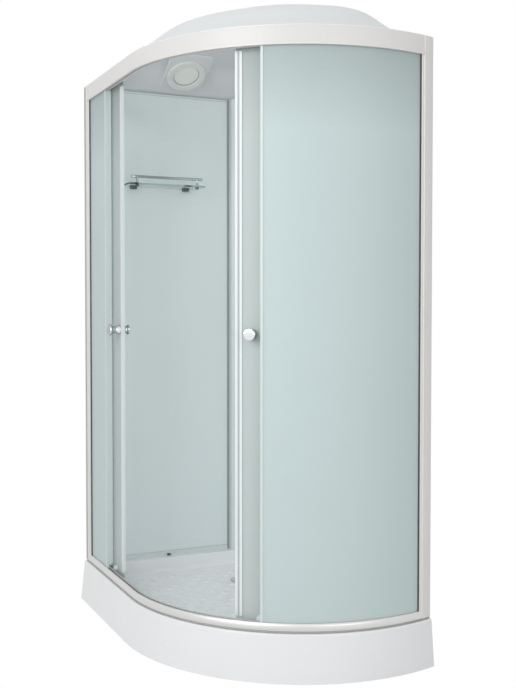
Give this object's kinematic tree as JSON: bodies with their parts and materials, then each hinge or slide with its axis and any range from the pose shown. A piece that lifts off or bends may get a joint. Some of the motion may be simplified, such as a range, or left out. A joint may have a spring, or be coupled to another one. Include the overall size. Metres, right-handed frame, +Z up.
{
  "type": "shower_enclosure",
  "caption": "quadrant shower cabin on a raised tray: curved framed front with sliding frosted doors, solid walls, glass shelf, domed roof with lamp",
  "frame": {"origin": "on the floor, at the middle of the overall width and depth; the foot pads stand on z = 0", "axes": "+X along the back wall towards the side wall, +Y towards the back wall, +Z up"},
  "size_m": [0.822, 1.2139, 2.15],
  "materials": {
    "enamel": "white moulded tray",
    "galvanised": "zinc-plated",
    "rubber": "black",
    "white_frame": "satin white coat",
    "satin_alloy": "satin, pale grey",
    "clear_strip": "clear strip",
    "frosted_glass": "frosted, pale green",
    "clear_glass": "clear, green edge",
    "soft_plastic": "milky strip",
    "white_plastic": "white",
    "wall_sheet": "white sheet",
    "wall_frame": "mill finish",
    "dark_plastic": "dark grey",
    "joint_grey": "grey",
    "chrome": "polished",
    "steel": "zinc-plated"
  },
  "bodies": {
    "cabin": {"tray_basin": "enamel", "tray_apron": "enamel", "sill_gasket": "rubber", "tray_support_frame": "galvanised", "foot_studs": "galvanised", "foot_nuts": "galvanised", "foot_pads": "rubber", "apron_clips": "galvanised", "drain_flange": "chrome", "drain_trap": "white_plastic", "bottom_rail": "satin_alloy", "top_rail": "white_frame", "left_post": "white_frame", "right_post": "white_frame", "rail_screws": "steel", "left_fixed_glass": "frosted_glass", "right_fixed_glass": "frosted_glass", "fixed_glass_seals": "clear_strip", "glass_gaskets": "rubber", "door_stops": "rubber", "back_wall_panel": "wall_sheet", "back_wall_frame": "wall_frame", "wall_joint_profile": "joint_grey", "side_wall_panel": "wall_sheet", "side_wall_frame": "wall_frame", "wall_trims": "white_plastic", "corner_column": "wall_sheet", "shelf_glass": "clear_glass", "shelf_guard_rail": "chrome", "shelf_brackets": "dark_plastic", "roof_shell": "white_plastic", "roof_screws": "steel", "lamp_bezel": "white_plastic", "lamp_lens": "white_plastic", "lamp_housing": "white_plastic", "lamp_cable_gland": "dark_plastic", "mixer_body": "chrome", "mixer_cap": "chrome"},
    "drain_cover": {"drain_grate": "chrome"},
    "mixer_handle": {"mixer_lever": "chrome"},
    "left_door": {"left_door_glass": "frosted_glass", "left_door_magnet_seal": "soft_plastic", "left_door_rear_seal": "soft_plastic", "left_door_carriers": "white_plastic", "left_knob_outer": "chrome", "left_knob_inner": "chrome"},
    "right_door": {"right_door_glass": "frosted_glass", "right_door_magnet_seal": "soft_plastic", "right_door_rear_seal": "soft_plastic", "right_door_carriers": "white_plastic", "right_knob_outer": "chrome", "right_knob_inner": "chrome"},
    "left_nose_low_wheel_body": {"left_nose_low_wheel": "white_plastic"},
    "left_tail_low_wheel_body": {"left_tail_low_wheel": "white_plastic"},
    "left_nose_high_wheel_body": {"left_nose_high_wheel": "white_plastic"},
    "left_tail_high_wheel_body": {"left_tail_high_wheel": "white_plastic"},
    "right_nose_low_wheel_body": {"right_nose_low_wheel": "white_plastic"},
    "right_tail_low_wheel_body": {"right_tail_low_wheel": "white_plastic"},
    "right_nose_high_wheel_body": {"right_nose_high_wheel": "white_plastic"},
    "right_tail_high_wheel_body": {"right_tail_high_wheel": "white_plastic"}
  },
  "joints": [
    {"name": "left_door_slide", "type": "slide", "parent": "cabin", "child": "left_door", "axis": [0, -1, 0], "range_m": [0, 0.2035]},
    {"name": "right_door_turn", "type": "hinge", "parent": "cabin", "child": "right_door", "pos_m": [0.236, 0.04, 1.066], "axis": [0, 0, -1], "range_deg": [0, 44.35]},
    {"name": "drain_cover_lift", "type": "slide", "parent": "cabin", "child": "drain_cover", "axis": [0, 0, 1], "range_m": [0, 0.06]},
    {"name": "mixer_lever_turn", "type": "hinge", "parent": "cabin", "child": "mixer_handle", "pos_m": [0.3005, 0.4737, 1.152], "axis": [-1, 0, 0], "range_deg": [0, 30]},
    {"name": "left_nose_low_wheel_spin", "type": "hinge", "parent": "left_door", "child": "left_nose_low_wheel_body", "pos_m": [-0.3575, 0.326, 0.1853], "axis": [1, 0, 0], "range_deg": [0, 1254.2]},
    {"name": "left_tail_low_wheel_spin", "type": "hinge", "parent": "left_door", "child": "left_tail_low_wheel_body", "pos_m": [-0.3575, 0.527, 0.1853], "axis": [1, 0, 0], "range_deg": [0, 1254.2]},
    {"name": "left_nose_high_wheel_spin", "type": "hinge", "parent": "left_door", "child": "left_nose_high_wheel_body", "pos_m": [-0.3575, 0.326, 1.9573], "axis": [1, 0, 0], "range_deg": [0, 1254.2]},
    {"name": "left_tail_high_wheel_spin", "type": "hinge", "parent": "left_door", "child": "left_tail_high_wheel_body", "pos_m": [-0.3575, 0.527, 1.9573], "axis": [1, 0, 0], "range_deg": [0, 1254.2]},
    {"name": "right_nose_low_wheel_spin", "type": "hinge", "parent": "right_door", "child": "right_nose_low_wheel_body", "pos_m": [-0.1273, -0.42931, 0.1853], "axis": [0.6121, 0.7908, 0], "range_deg": [0, 2830.8]},
    {"name": "right_tail_low_wheel_spin", "type": "hinge", "parent": "right_door", "child": "right_tail_low_wheel_body", "pos_m": [0.26825, -0.55262, 0.1853], "axis": [-0.0543, 0.9985, 0], "range_deg": [0, 2830.8]},
    {"name": "right_nose_high_wheel_spin", "type": "hinge", "parent": "right_door", "child": "right_nose_high_wheel_body", "pos_m": [-0.1273, -0.42931, 1.9573], "axis": [0.6121, 0.7908, 0], "range_deg": [0, 2830.8]},
    {"name": "right_tail_high_wheel_spin", "type": "hinge", "parent": "right_door", "child": "right_tail_high_wheel_body", "pos_m": [0.26825, -0.55262, 1.9573], "axis": [-0.0543, 0.9985, 0], "range_deg": [0, 2830.8]}
  ],
  "couplings": [
    {"joint": "left_nose_low_wheel_spin", "follows": "left_door_slide", "rad_per_m": 107.53},
    {"joint": "left_tail_low_wheel_spin", "follows": "left_door_slide", "rad_per_m": 107.53},
    {"joint": "left_nose_high_wheel_spin", "follows": "left_door_slide", "rad_per_m": 107.53},
    {"joint": "left_tail_high_wheel_spin", "follows": "left_door_slide", "rad_per_m": 107.53},
    {"joint": "right_nose_low_wheel_spin", "follows": "right_door_turn", "ratio": 63.817},
    {"joint": "right_tail_low_wheel_spin", "follows": "right_door_turn", "ratio": 63.817},
    {"joint": "right_nose_high_wheel_spin", "follows": "right_door_turn", "ratio": 63.817},
    {"joint": "right_tail_high_wheel_spin", "follows": "right_door_turn", "ratio": 63.817}
  ]
}
